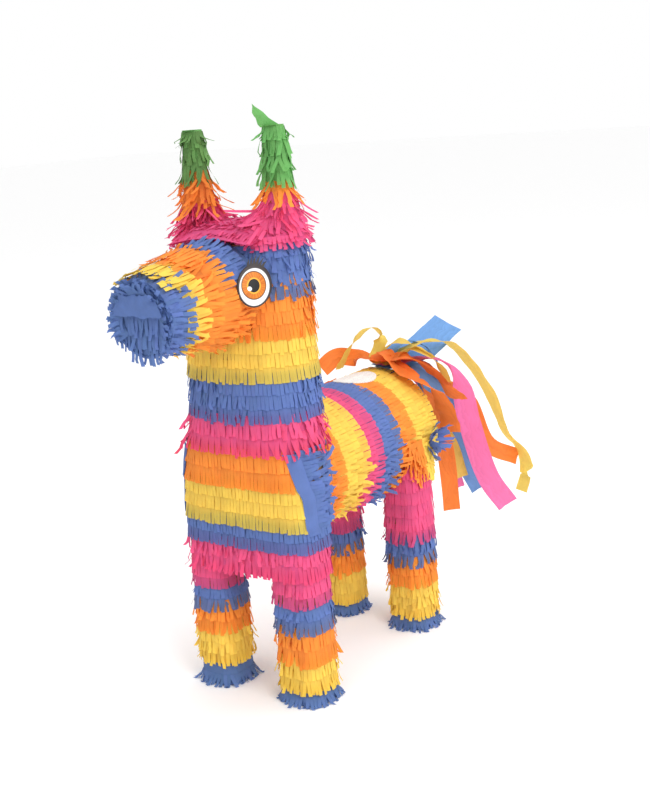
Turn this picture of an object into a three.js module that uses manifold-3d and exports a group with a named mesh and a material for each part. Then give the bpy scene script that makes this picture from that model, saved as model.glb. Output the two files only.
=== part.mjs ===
// A donkey pinata: card tubes covered with rows of cut tissue fringe, with a fill flap in the back.
// Millimetres, +Z up, the nose towards -Y. The origin is on the ground under the middle of the object.
import * as THREE from 'three';
import { mergeVertices } from 'three/addons/utils/BufferGeometryUtils.js';
import Module from 'manifold-3d';

const wasm = await Module();
wasm.setup();

// ---- driving dimensions ----
const GAP = 0.3; // clear space between pieces that touch
const FRINGE = 4; // depth of a row of fringe
const FLARE = 1.2; // how far a row leans out at its free edge
const CARD = 2.5; // card wall
const FACE = -FRINGE - 0.5; // offset of the card face below the outer face
const ORIGIN_Y = -60.86; // from the middle of the four feet to the middle of the whole length
const PAST = 20; // how far a cutting tool runs past what it cuts
const SMALL_ROUND = 16; // sides of an ear or a leg

// upright head, neck and chest: height, half width, half depth, centre y, corner power
const COLUMN = [
  [131, 81, 30, -102, 4], [182, 82, 33, -100, 4], [222, 81, 37, -97, 3.5], [256, 77.5, 43, -93, 2.9],
  [288, 73.5, 48, -88, 2.4], [327, 73, 50, -86, 2.2], [456, 72, 48, -86, 2.2],
];
const HEM = COLUMN[0][0]; // lower edge of the chest fringe
const COLUMN_TOP = 456;
const COLUMN_BASE = 135.5;
const ROOF_TOP = 474;

// body: an oval tube along Y
const BODY = { halfWidth: 72, halfHeight: 68, z: 217, front: -90, rear: 138, rump: 133.7 };
// the opening between the body and the chest, for the sweets
const PASSAGE = { inset: 32, front: -110, rear: -40 };

// ears: height, half width, half depth, centre y, corner power
const EAR = [
  [456, 24, 15, -86, 2.6], [481, 21, 13, -86, 2.6], [500, 18, 11, -86, 2.6], [530, 15, 9.5, -86, 2.6],
  [563, 13, 8.5, -86, 2.6],
];
const EAR_TOP = 562;
const EAR_CARD = 2;
const EARS = { l: { x: 50, pinkTop: 491, orangeTop: 506 }, r: { x: -50, pinkTop: 481, orangeTop: 512 } };
// the left ear's paper point, turned outwards: across, up
const LEAF = { top: 582, height: 30, thick: 2, outline: [[9, 0], [-9, 0], [-15, 20], [-10, 30]] };

// top of the head between the ears: offset from the outer face, height
const ROOF = [[-FLARE, COLUMN_TOP], [-2, 462], [-10, 469], [-26, ROOF_TOP]];

// snout: a tapering tube pointing forwards and a little down
const SNOUT = { y: -130, z: 413, tilt: 5, length: 104, inHead: -50, cardFrom: -20 };
const SNOUT_RADII = [[-12, 52.9], [28, 50], [62, 43], [104, 36]];

// legs: x, y, half width, half depth and the heights of the colour changes
const LEGS = {
  fl: { x: 53, y: -104, a: 28, b: 27, bands: [105, 77, 44, 15] },
  fr: { x: -54, y: -104, a: 27, b: 26, bands: [108, 84, 59, 24] },
  rl: { x: 49, y: 102, a: 26, b: 26, bands: [102, 76, 52, 15] },
  rr: { x: -49, y: 102, a: 26, b: 26, bands: [102, 76, 52, 15] },
};
const LEG_POWER = 3;
const REAR_LEG_TOP = 190;
const SOLE = 0.4; // the foot fringe stops this far above the ground

// fill flap in the top of the body, on a fold along its right-hand edge
const FLAP = { x: 27, front: 56, rear: 114, lip: 5, top: -1.4, card: 2.5, play: 0.6 };
const FLAP_Y = (FLAP.front + FLAP.rear) / 2;
const LABEL = { x: 22, y: 28, card: 0.8 };

// eye cards
const EYE = {
  x: 56, y: -140.5, z: 421, halfWidth: 16.5, halfHeight: 20.5,
  yaw: 60, lean: 15, roll: 14, card: 0.9, clear: 1.03,
};

// tail: each colour is one sheet cut into strips, [half width, path, side the strip faces]
const ROOT = { x: 7, y: 129, z: 286.2, width: 26, length: 12, sheet: 1.2, step: 2.4 };
const STRIP = 0.9;
const UP = [0, 0, 1];
const SIDE = [0.6, -0.8, 0.2];
const TAIL = {
  blue: [
    [13, [[12, 150, 286.2], [12, 172, 286.6], [13, 213, 291], [14, 240, 298], [16, 262, 304]], UP],
    [6, [[14, 144, 286], [18, 156, 281], [26, 190, 262], [30, 228, 231], [36, 242, 157], [40, 272, 106]], SIDE],
  ],
  pink: [
    [9, [[14, 144, 288.8], [28, 160, 290], [40, 178, 288], [48, 200, 277], [56, 218, 243], [62, 222, 203],
      [70, 246, 135], [73, 290, 84]], SIDE],
  ],
  yellow: [
    [6, [[-8, 141, 291.5], [-7, 152, 314], [-14, 145, 327], [-30, 130, 313], [-50, 126, 279]], UP],
    [7, [[9, 148, 291.6], [18, 172, 301], [26, 190, 304], [38, 233, 292], [50, 287, 230], [58, 310, 172],
      [64, 341, 141], [66, 354, 110], [62, 342, 86]], SIDE],
  ],
  orange: [
    [8, [[-10, 128, 295], [-24, 136, 293], [-40, 146, 290], [-56, 132, 294], [-62, 104, 281]], UP],
    [9, [[6, 130, 303], [12, 128, 302], [22, 127, 292], [38, 125, 281], [54, 123, 274], [68, 140, 260],
      [72, 160, 228], [72, 165, 208]], UP],
    [8, [[22, 137, 296], [36, 141, 293], [50, 156, 279], [58, 190, 246]], UP],
  ],
};

const HUES = {
  blue: 0x5f7dc3, pink: 0xee4b84, orange: 0xff8c2d, yellow: 0xfacd3c, green: 0x64b964,
  card: 0xa98a62, white: 0xeeece6, eye: 0xe8a53c,
};

// ---- solids ----
// A closed three.js geometry as a solid, wound so that its faces point out.
function solid(geometry) {
  const bare = geometry.clone();
  for (const name of ['normal', 'uv']) bare.deleteAttribute(name);
  const merged = mergeVertices(bare, 1e-3);
  const p = merged.attributes.position;
  const index = merged.index.array;
  const corners = [0, 1, 2].map(() => new THREE.Vector3());
  const tris = [];
  let volume = 0;
  for (let i = 0; i < index.length; i += 3) {
    const [a, b, c] = index.slice(i, i + 3);
    if (a === b || b === c || c === a) continue;
    tris.push([a, b, c]);
    [a, b, c].forEach((v, k) => corners[k].fromBufferAttribute(p, v));
    volume += corners[0].dot(corners[1].clone().cross(corners[2]));
  }
  const wound = tris.map(([a, b, c]) => (volume > 0 ? [a, b, c] : [a, c, b]));
  return new wasm.Manifold(new wasm.Mesh({
    numProp: 3, vertProperties: new Float32Array(p.array), triVerts: new Uint32Array(wound.flat()),
  }));
}

function geometryOf(shape) {
  const mesh = shape.getMesh();
  const geometry = new THREE.BufferGeometry();
  geometry.setAttribute('position', new THREE.BufferAttribute(new Float32Array(mesh.vertProperties), 3));
  geometry.setIndex(new THREE.BufferAttribute(new Uint32Array(mesh.triVerts), 1));
  geometry.computeVertexNormals();
  return geometry;
}

function piece(name, shape, hue, roughness = 0.85) {
  const material = new THREE.MeshStandardMaterial({ color: HUES[hue], roughness, metalness: 0 });
  const mesh = new THREE.Mesh(geometryOf(shape), material);
  mesh.name = name;
  return mesh;
}

const cut = (shape, ...tools) => tools.reduce((left, tool) => left.subtract(tool), shape);
const join = (first, ...rest) => rest.reduce((all, next) => all.add(next), first);

function reshape(geometry, move) {
  const p = geometry.attributes.position;
  for (let i = 0; i < p.count; i++) p.setXYZ(i, ...move(p.getX(i), p.getY(i), p.getZ(i)));
  return geometry;
}

// Lathe profiles hold [offset from the outer face, place along the axis]; AXIS is the middle of the form.
const UNIT = 100; // radius of a turned profile before it takes its form
const AXIS = -UNIT;
function lathe(profile, segments) {
  const points = profile.map(([offset, along]) => new THREE.Vector2(UNIT + offset, along));
  if (profile[0][0] !== AXIS) points.push(points[0].clone());
  return new THREE.LatheGeometry(points, segments);
}

function rounded(angle, a, b, power) {
  const c = Math.cos(angle);
  const s = Math.sin(angle);
  return [a * Math.sign(c) * Math.abs(c) ** (2 / power), b * Math.sign(s) * Math.abs(s) ** (2 / power)];
}

function at(table, key) {
  const above = table.findIndex((entry) => entry[0] > key);
  const i = above < 0 ? table.length - 1 : Math.max(above, 1);
  const [low, high] = [table[i - 1], table[i]];
  const t = (key - low[0]) / (high[0] - low[0]);
  return low.slice(1).map((v, k) => THREE.MathUtils.lerp(v, high[k + 1], t));
}

// A turned profile that takes an upright form's outline at each height.
function upright(table, profile, segments = 28, x = 0) {
  return solid(reshape(lathe(profile, segments), (u, z, v) => {
    const reach = Math.hypot(u, v);
    const offset = reach - UNIT;
    const [a, b, y, power] = at(table, z);
    if (reach < 1) return [x, y, z];
    const [dx, dy] = rounded(Math.atan2(v, u), a + offset, b + offset, power);
    return [x + dx, y + dy, z];
  }));
}

function bodyForm(profile, segments = 32) {
  return solid(reshape(lathe(profile, segments), (u, y, v) => {
    const reach = Math.hypot(u, v);
    const offset = reach - UNIT;
    if (reach < 1) return [0, y, BODY.z];
    return [((BODY.halfWidth + offset) * u) / reach, y, BODY.z + ((BODY.halfHeight + offset) * v) / reach];
  }));
}

function snoutForm(profile, segments = 28) {
  const geometry = reshape(lathe(profile, segments), (u, d, v) => {
    const reach = Math.hypot(u, v);
    const k = reach < 1 ? 0 : (at(SNOUT_RADII, d)[0] + reach - UNIT) / reach;
    return [u * k, d, v * k];
  });
  geometry.rotateX(Math.PI + THREE.MathUtils.degToRad(SNOUT.tilt));
  return solid(geometry.translate(0, SNOUT.y, SNOUT.z));
}

// A row of fringe between two places along a form: flared at its free edge, which is the one named first.
const row = (free, fixed) => [[-FRINGE, free], [0, free], [-FLARE, fixed], [-FRINGE, fixed]];
const plug = (offset, from, to) => [[AXIS, from], [offset, from], [offset, to], [AXIS, to]];
const steps = (from, to, breaks) => [from, ...breaks.filter((v) => v > from + 3 && v < to - 3), to];
// The same with the form's own breaks kept, so that a long wall follows a curved outline.
function solidForm(offset, from, to, breaks) {
  return [[AXIS, from], ...steps(from, to, breaks).map((v) => [offset, v]), [AXIS, to]];
}

const columnBreaks = COLUMN.map(([z]) => z);
function columnSolid(offset, from = HEM - PAST, to = COLUMN_TOP + PAST) {
  return upright(COLUMN, solidForm(offset, from, to, columnBreaks));
}
const earForm = (x, offset, from, to) =>
  upright(EAR, solidForm(offset, from, to, EAR.map(([z]) => z)), SMALL_ROUND, x);
const earHole = (x) => earForm(x, FACE + GAP, COLUMN_TOP - PAST, EAR_TOP - FRINGE + GAP);
const bodySolid = (offset, from = BODY.front, to = BODY.rear + PAST) => bodyForm(plug(offset, from, to));
const snoutSolid = (offset, from = SNOUT.inHead, to = SNOUT.length + PAST) =>
  snoutForm(solidForm(offset, from, to, SNOUT_RADII.map(([d]) => d)));
const legTable = ({ y, a, b }) => [[0, a, b, y, LEG_POWER], [COLUMN_TOP, a, b, y, LEG_POWER]];
const legSolid = (leg, offset, from, to) => upright(legTable(leg), plug(offset, from, to), SMALL_ROUND, leg.x);

// ---- tools that cut one piece clear of another ----
const columnFace = columnSolid(GAP);
const columnCard = columnSolid(FACE + GAP);
const bodyFace = bodySolid(GAP);
const bodyCard = bodySolid(FACE + GAP);
const snoutFace = snoutSolid(GAP);
const rearTubes = ['rl', 'rr'].map((key) => legSolid(LEGS[key], FACE + GAP, HEM - PAST, REAR_LEG_TOP + PAST));
const frontTubes = ['fl', 'fr'].map((key) =>
  legSolid(LEGS[key], FACE + GAP, HEM - 2 * PAST, COLUMN_BASE + PAST));

const pinata = new THREE.Group();

// ---- card shells ----
const passage = bodySolid(-PASSAGE.inset, PASSAGE.front, PASSAGE.rear);
const columnShell = cut(
  columnSolid(FACE, COLUMN_BASE, COLUMN_TOP - GAP),
  columnSolid(FACE - CARD, COLUMN_BASE + CARD, COLUMN_TOP - GAP - CARD),
  passage,
);
// A box over the flap, grown on each side, through the top of the body.
function overFlap(grow) {
  const box = new THREE.BoxGeometry(2 * (FLAP.x + grow), FLAP.rear - FLAP.front + 2 * grow, BODY.halfHeight);
  return solid(box.translate(0, FLAP_Y, BODY.z + BODY.halfHeight));
}
const bodyShell = cut(
  bodySolid(FACE, BODY.front, BODY.rear - FRINGE - GAP),
  bodySolid(FACE - CARD, BODY.front - 1, BODY.rear - FRINGE - GAP - CARD),
  columnCard, overFlap(-FLAP.lip),
);
const snoutShell = cut(
  snoutSolid(FACE, SNOUT.cardFrom, SNOUT.length - FRINGE - GAP),
  snoutSolid(FACE - CARD, SNOUT.inHead, SNOUT.length - FRINGE - GAP - CARD),
  columnCard,
);
pinata.add(
  piece('column_shell', columnShell, 'card'),
  piece('body_shell', bodyShell, 'card'),
  piece('snout_shell', snoutShell, 'card'),
);
for (const [side, { x }] of Object.entries(EARS)) {
  const inside = earForm(x, FACE - EAR_CARD, COLUMN_TOP - PAST, EAR_TOP - FRINGE - EAR_CARD);
  const core = earForm(x, FACE, COLUMN_TOP, EAR_TOP - FRINGE);
  pinata.add(piece(`ear_${side}_card`, cut(core, inside), 'card'));
}
for (const [key, leg] of Object.entries(LEGS)) {
  const front = leg.y < 0;
  const top = front ? COLUMN_BASE - GAP : REAR_LEG_TOP;
  const tube = cut(legSolid(leg, FACE, 0, top), legSolid(leg, FACE - CARD, CARD, top + PAST));
  pinata.add(piece(`leg_${key}_card`, front ? tube : cut(tube, bodyCard), 'card'));
}

// ---- fringe on the head, neck and chest ----
const earHoles = Object.values(EARS).map(({ x }) => earHole(x));
const earSleeves = Object.values(EARS).map(({ x, pinkTop }) => earForm(x, 0, COLUMN_TOP, pinkTop));
const roof = [[AXIS, COLUMN_TOP], ...ROOF, [AXIS, ROOF_TOP + FRINGE]];
const roofSolid = cut(join(upright(COLUMN, roof), ...earSleeves), ...earHoles, snoutFace);
pinata.add(piece('head_fringe_pink', roofSolid, 'pink'));

const HEM_TOP = 160;
const COLUMN_ROWS = [
  ['head_fringe_blue', 405, COLUMN_TOP - GAP, 'blue'], ['head_fringe_orange', 368, 405, 'orange'],
  ['head_fringe_yellow', 327, 368, 'yellow'], ['neck_fringe_blue', 288, 327, 'blue'],
  ['neck_fringe_pink', 256, 288, 'pink'], ['chest_fringe_orange', 222, 256, 'orange'],
  ['chest_fringe_yellow', 182, 222, 'yellow'], ['chest_fringe_blue', HEM_TOP, 182, 'blue'],
];
const eyeCards = [];
for (const side of [1, -1]) {
  const outline = new THREE.Shape().absellipse(0, 0, EYE.halfWidth, EYE.halfHeight, 0, 2 * Math.PI);
  const build = (depth, grow, back) => {
    const card = new THREE.ExtrudeGeometry(outline, { depth, bevelEnabled: false, curveSegments: 14 });
    card.translate(0, 0, -back).scale(grow, grow, 1);
    card.rotateZ(THREE.MathUtils.degToRad(side * -EYE.roll));
    card.rotateX(Math.PI / 2 - THREE.MathUtils.degToRad(EYE.lean));
    card.rotateZ(THREE.MathUtils.degToRad(side * EYE.yaw));
    return solid(card.translate(side * EYE.x, EYE.y, EYE.z));
  };
  eyeCards.push({ card: build(EYE.card, 1, 0), clearance: build(EYE.halfWidth, EYE.clear, GAP) });
}
const eyeSpaces = eyeCards.map(({ clearance }) => clearance);
for (const [name, low, high, hue] of COLUMN_ROWS) {
  const ring = upright(COLUMN, row(low, high - GAP));
  pinata.add(piece(name, cut(ring, snoutFace, bodyFace, ...eyeSpaces), hue));
}
const hem = join(
  upright(COLUMN, row(HEM, HEM_TOP - GAP)),
  columnSolid(-FRINGE / 2, HEM, COLUMN_BASE - GAP),
  ...['fl', 'fr'].map((key) => legSolid(LEGS[key], 0, LEGS[key].bands[0], HEM + 2)),
);
pinata.add(piece('chest_fringe_pink', cut(hem, ...frontTubes, bodyFace), 'pink'));

// ---- fringe on the body ----
const STRIPES = [
  ['body_fringe_orange_front', -90, -43, 'orange'], ['body_fringe_yellow_front', -43, 2, 'yellow'],
  ['body_fringe_pink', 2, 27, 'pink'], ['body_fringe_blue', 27, 62, 'blue'],
  ['body_fringe_orange_rear', 62, 88, 'orange'], ['body_fringe_yellow_rear', 88, BODY.rump, 'yellow'],
];
for (const [name, front, rear, hue] of STRIPES) {
  const ring = bodyForm(row(rear - GAP, front));
  pinata.add(piece(name, cut(ring, columnFace, ...rearTubes, overFlap(FLAP.play)), hue));
}
pinata.add(piece('rump_fringe_blue', bodyForm(plug(-0.5, BODY.rump, BODY.rear)), 'blue'));

// ---- fringe on the snout ----
const snoutRows = [
  ['snout_fringe_collar', -12, 28, 'blue'], ['snout_fringe_orange', 28, 62, 'orange'],
  ['snout_fringe_yellow', 62, 76, 'yellow'],
];
for (const [name, near, far, hue] of snoutRows) {
  pinata.add(piece(name, cut(snoutForm(row(near, far - GAP)), columnFace, ...eyeSpaces), hue));
}
const nose = cut(snoutSolid(0, 76, SNOUT.length), snoutSolid(-FRINGE, 60, SNOUT.length - FRINGE));
pinata.add(piece('snout_fringe_blue', nose, 'blue'));

// ---- fringe on the ears and legs ----
for (const [side, { x, pinkTop, orangeTop }] of Object.entries(EARS)) {
  const hole = earHole(x);
  const orange = cut(earForm(x, 0, pinkTop + GAP, orangeTop), hole);
  pinata.add(piece(`ear_${side}_fringe_orange`, orange, 'orange'));
  let top = earForm(x, 0, orangeTop + GAP, EAR_TOP);
  if (side === 'l') {
    const leaf = new THREE.Shape(LEAF.outline.map(([u, v]) => new THREE.Vector2(u, v)));
    const blade = new THREE.ExtrudeGeometry(leaf, { depth: LEAF.thick, bevelEnabled: false });
    blade.rotateX(Math.PI / 2).translate(x, EAR.at(-1)[3] + LEAF.thick / 2, LEAF.top - LEAF.height);
    top = join(top, solid(blade));
  }
  pinata.add(piece(`ear_${side}_fringe_green`, cut(top, hole), 'green'));
}
for (const [key, leg] of Object.entries(LEGS)) {
  const [pink, blue, orange, yellow] = leg.bands;
  const rows = [
    ['blue', blue, pink], ['orange', orange, blue], ['yellow', yellow, orange], ['foot', SOLE, yellow],
  ];
  if (leg.y > 0) rows.unshift(['pink', pink, REAR_LEG_TOP]);
  for (const [label, low, high] of rows) {
    const ring = upright(legTable(leg), row(low, high - GAP), SMALL_ROUND, leg.x);
    const clear = label === 'pink' ? cut(ring, bodyFace) : ring;
    pinata.add(piece(`leg_${key}_fringe_${label}`, clear, label === 'foot' ? 'blue' : label));
  }
}

// ---- eyes ----
pinata.add(piece('eye_l', eyeCards[0].card, 'eye', 0.4), piece('eye_r', eyeCards[1].card, 'eye', 0.4));

// ---- fill flap, on its fold ----
function panel(top, thick, trim) {
  const { front, rear } = FLAP;
  return cut(bodySolid(top, front, rear), bodySolid(top - thick, front - 1, rear + 1)).intersect(trim);
}
const oval = new THREE.CylinderGeometry(1, 1, BODY.halfHeight, 32);
oval.rotateX(Math.PI / 2).scale(LABEL.x, LABEL.y, 1).translate(0, FLAP_Y, BODY.z + BODY.halfHeight);
const flapPanel = panel(FLAP.top, FLAP.card, overFlap(0));
const label = panel(FLAP.top + GAP + LABEL.card, LABEL.card, solid(oval));
const foldShare = FLAP.x / (BODY.halfWidth + FLAP.top);
const foldZ = BODY.z + (BODY.halfHeight + FLAP.top) * Math.sqrt(1 - foldShare ** 2);
const fold = new THREE.Group();
fold.position.set(-FLAP.x, 0, foldZ);
for (const [name, shape, hue] of [['fill_flap', flapPanel, 'card'], ['fill_label', label, 'white']]) {
  const mesh = piece(name, shape, hue, 0.6);
  mesh.geometry.translate(FLAP.x, 0, -foldZ);
  fold.add(mesh);
}
pinata.add(fold);

// ---- tail strips ----
// A box bent along a path: flat at its root, then turned to face the given direction.
function strip(halfWidth, path, towards, thick = STRIP) {
  const curve = new THREE.CatmullRomCurve3(path.map((p) => new THREE.Vector3(...p)));
  const count = 3 * (path.length - 1);
  const [flat, turned] = [UP, towards].map((v) => new THREE.Vector3(...v));
  return solid(reshape(new THREE.BoxGeometry(2 * halfWidth, 1, thick, 1, count, 1), (u, v, w) => {
    const t = THREE.MathUtils.clamp(v + 0.5, 0, 1);
    const tangent = curve.getTangentAt(t);
    const facing = flat.clone().lerp(turned, THREE.MathUtils.smoothstep(t, 0.2, 0.6));
    const across = new THREE.Vector3().crossVectors(tangent, facing).normalize();
    const out = new THREE.Vector3().crossVectors(across, tangent);
    const p = curve.getPointAt(t).addScaledVector(across, u).addScaledVector(out, w);
    return [p.x, p.y, p.z];
  }));
}
Object.entries(TAIL).forEach(([hue, strips], i) => {
  const z = ROOT.z + i * ROOT.step;
  const root = new THREE.BoxGeometry(ROOT.width, ROOT.length, ROOT.sheet).translate(ROOT.x, ROOT.y, z);
  const shapes = strips.map(([half, path, towards]) => strip(half, [[ROOT.x, ROOT.y, z], ...path], towards));
  pinata.add(piece(`tail_${hue}`, join(solid(root), ...shapes), hue));
});

pinata.position.y = ORIGIN_Y;
const object = new THREE.Group();
object.add(pinata);
export default object;
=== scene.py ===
"""Looks of the donkey pinata: rows of cut tissue, printed eyes, a label and a paper tail."""

import math

import bpy
import numpy as np
from mathutils import Matrix, Vector, noise
from mathutils.bvhtree import BVHTree


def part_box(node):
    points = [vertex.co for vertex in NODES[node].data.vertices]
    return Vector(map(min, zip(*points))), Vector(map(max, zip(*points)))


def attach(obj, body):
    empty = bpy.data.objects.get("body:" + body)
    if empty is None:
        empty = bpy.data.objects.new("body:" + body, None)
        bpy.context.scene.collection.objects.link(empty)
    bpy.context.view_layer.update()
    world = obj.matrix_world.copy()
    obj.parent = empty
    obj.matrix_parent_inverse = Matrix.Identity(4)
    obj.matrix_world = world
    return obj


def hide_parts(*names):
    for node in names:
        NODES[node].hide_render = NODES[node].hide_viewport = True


MM = 0.001
UP = Vector((0, 0, 1))
REAR = Vector((0, 1, 0))
RIGHT = Vector((1, 0, 0))

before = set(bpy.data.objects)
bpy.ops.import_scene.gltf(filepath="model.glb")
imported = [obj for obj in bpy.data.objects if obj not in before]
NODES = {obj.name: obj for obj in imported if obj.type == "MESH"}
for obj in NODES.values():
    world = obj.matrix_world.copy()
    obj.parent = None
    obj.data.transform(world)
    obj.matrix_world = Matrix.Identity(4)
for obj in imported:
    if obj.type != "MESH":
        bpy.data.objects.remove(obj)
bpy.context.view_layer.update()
ROWS = np.random.default_rng(20)

# ---- driving sizes, in millimetres ----
TAB_WIDTH = 4.1
TAB_SPACING = 3.9  # on faces whose tabs are laid out one by one
ROW_PITCH = 13.5
BODY_PITCH = 12.5
OVERLAP = 9.0
FRINGE = 4.0
LOWEST = 0.5  # no tab comes nearer to the ground
SIDE_COUNT = 360  # directions in which a face is measured
SMOOTHING = 4  # neighbours on each side that a measured radius is averaged with
STEPS = 6  # along a tab
ACROSS = 3  # points across a tab
RIM_COUNT = 48  # points round a flat round end

# The middle of the four feet, from which the part's own heights and lengths are given.
FEET = [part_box(f"leg_{key}_card") for key in ("fl", "fr", "rl", "rr")]
MIDDLE_Y = sum((low.y + high.y) / 2 for low, high in FEET) / 4 + 1.0 * MM


def place(x, y, z):
    """A point given in millimetres from the middle of the feet."""
    return Vector((x * MM, y * MM + MIDDLE_Y, z * MM))


# ---- camera ----
AZIMUTH, ELEVATION, ROLL = (math.radians(angle) for angle in (36.8, 13.0, -4.4))
CAMERA_TARGET = place(20.7, 0, 276)
CAMERA_DISTANCE = 1.335
LENS = 57.6


def make_camera():
    back = Vector((math.sin(AZIMUTH) * math.cos(ELEVATION), -math.cos(AZIMUTH) * math.cos(ELEVATION),
                   math.sin(ELEVATION)))
    level = Vector((math.cos(AZIMUTH), math.sin(AZIMUTH), 0))
    upright = back.cross(level)
    right = math.cos(ROLL) * level + math.sin(ROLL) * upright
    up = -math.sin(ROLL) * level + math.cos(ROLL) * upright
    data = bpy.data.cameras.new("camera")
    data.lens = LENS
    camera = bpy.data.objects.new("camera", data)
    turned = Matrix((right, up, back)).transposed().to_4x4()
    turned.translation = CAMERA_TARGET + back * CAMERA_DISTANCE
    camera.matrix_world = turned
    bpy.context.scene.collection.objects.link(camera)
    bpy.context.scene.camera = camera


make_camera()


# ---- materials ----
def linear(srgb):
    return tuple((c / 12.92 if c <= 0.04045 else ((c + 0.055) / 1.055) ** 2.4) for c in srgb) + (1.0,)


HUES = {
    "blue": (0.40, 0.50, 0.74), "pink": (0.93, 0.36, 0.56), "orange": (0.98, 0.60, 0.24),
    "yellow": (0.97, 0.83, 0.36), "green": (0.45, 0.71, 0.40),
}
STREAMERS = {
    "blue": (0.42, 0.60, 0.82), "pink": (0.95, 0.46, 0.68),
    "orange": (0.95, 0.50, 0.20), "yellow": (0.92, 0.80, 0.38),
}
LIGHT_THROUGH_TISSUE = 0.3
LIGHT_THROUGH_STREAMER = 0.35
PRINT_SHINE = 0.3


class Nodes:
    """A material's node tree, with short calls to add and link nodes."""

    def __init__(self, name):
        self.material = bpy.data.materials.new(name)
        self.material.use_nodes = True
        self.tree = self.material.node_tree
        self.shader = self.tree.nodes["Principled BSDF"]
        self.output = self.tree.nodes["Material Output"]

    def add(self, kind, inputs=None, **settings):
        node = self.tree.nodes.new(kind)
        for key, value in settings.items():
            setattr(node, key, value)
        for key, value in (inputs or {}).items():
            if isinstance(value, bpy.types.NodeSocket):
                self.tree.links.new(value, node.inputs[key])
            else:
                node.inputs[key].default_value = value
        return node

    def link(self, source, target):
        self.tree.links.new(source, target)

    def where(self):
        return self.add("ShaderNodeTexCoord").outputs["Object"]

    def noise(self, where, scale, detail=2.0):
        inputs = {"Vector": where, "Scale": scale, "Detail": detail}
        return self.add("ShaderNodeTexNoise", inputs).outputs["Fac"]

    def math(self, operation, *values):
        return self.add("ShaderNodeMath", dict(enumerate(values)), operation=operation).outputs[0]

    def mix(self, share, first, second):
        inputs = {"Factor": share, "A": first, "B": second}
        return self.add("ShaderNodeMix", inputs, data_type="RGBA").outputs["Result"]

    def ramp(self, factor, *stops):
        node = self.add("ShaderNodeValToRGB", {"Fac": factor})
        for stop, (at, srgb) in zip(node.color_ramp.elements, stops):
            stop.position = at
            stop.color = linear(srgb)
        return node.outputs["Color"]

    def colour(self, source):
        self.link(source, self.shader.inputs["Base Color"])

    def roughness(self, source, low, high):
        spread = self.add("ShaderNodeMapRange", {"Value": source, "To Min": low, "To Max": high})
        self.link(spread.outputs["Result"], self.shader.inputs["Roughness"])

    def bump(self, height, strength, distance):
        inputs = {"Height": height, "Strength": strength, "Distance": distance}
        normal = self.add("ShaderNodeBump", inputs).outputs["Normal"]
        self.link(normal, self.shader.inputs["Normal"])
        return normal

    def light_through(self, colour, normal, share):
        thin = self.add("ShaderNodeBsdfTranslucent", {"Color": colour, "Normal": normal})
        both = self.add("ShaderNodeMixShader", {"Fac": share})
        self.link(self.shader.outputs[0], both.inputs[1])
        self.link(thin.outputs[0], both.inputs[2])
        self.link(both.outputs[0], self.output.inputs["Surface"])


def tissue(name, srgb, under=None):
    """Thin dyed tissue: each tab has its own tone, and the last row lets the colour under it through."""
    n = Nodes(name)
    where = n.where()
    # The tone attribute holds each tab's random tone, and also painted shade set by the pieces: under the
    # tabs, toward each tab's root, on the feet, the muzzle and the far ear.
    tone = n.add("ShaderNodeAttribute", attribute_name="tone").outputs["Fac"]
    patches = n.noise(where, 55.0, 3.0)
    fine = n.noise(where, 900.0)
    paper = n.add("ShaderNodeRGB")
    paper.outputs[0].default_value = linear(srgb)
    colour = paper.outputs[0]
    if under:
        show = n.add("ShaderNodeAttribute", attribute_name="show").outputs["Fac"]
        colour = n.mix(show, colour, linear([c * (0.45 + 0.55 * u) for c, u in zip(srgb, under)]))
    value = n.math("ADD", tone, n.math("MULTIPLY_ADD", patches, 0.35, 0.82))
    shift = n.math("MULTIPLY_ADD", tone, 0.06, 0.5)
    inputs = {"Hue": shift, "Value": value, "Color": colour}
    varied = n.add("ShaderNodeHueSaturation", inputs).outputs["Color"]
    n.colour(varied)
    n.roughness(fine, 0.62, 0.85)
    n.shader.inputs["Specular IOR Level"].default_value = 0.3
    n.light_through(varied, n.bump(fine, 0.5, 0.4 * MM), LIGHT_THROUGH_TISSUE)
    return n.material


def cardboard():
    """Brown liner board with faint flutes and flecks."""
    n = Nodes("kraft_card")
    where = n.where()
    flutes = n.add("ShaderNodeTexWave", {"Vector": where, "Scale": 45.0, "Distortion": 0.6})
    flecks = n.noise(where, 420.0, 5.0)
    n.colour(n.ramp(flecks, (0.3, (0.55, 0.40, 0.26)), (0.7, (0.70, 0.55, 0.38))))
    n.roughness(flecks, 0.75, 0.95)
    n.bump(flutes.outputs["Fac"], 0.25, 0.5 * MM)
    return n.material


def repaint(node_name, material):
    """Give a CAD node that is shown as it is a material."""
    NODES[node_name].data.materials.clear()
    NODES[node_name].data.materials.append(material)


PAPER = {hue: tissue(f"tissue_{hue}", srgb) for hue, srgb in HUES.items()}
CARD = cardboard()
for card_name in NODES:
    if card_name.endswith(("_card", "_shell")) or card_name == "fill_flap":
        repaint(card_name, CARD)


# ---- meshes ----
def grid_faces(down, across):
    """Quads between the points of a grid that is stored row by row."""
    first = (np.arange(down - 1)[:, None] * across + np.arange(across - 1)).ravel()
    return np.stack([first, first + 1, first + across + 1, first + across], axis=1)


def ring_faces(count):
    """Quads between two rings of count points."""
    i = np.arange(count)
    j = (i + 1) % count
    return np.stack([i, j, j + count, i + count], axis=1)


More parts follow.
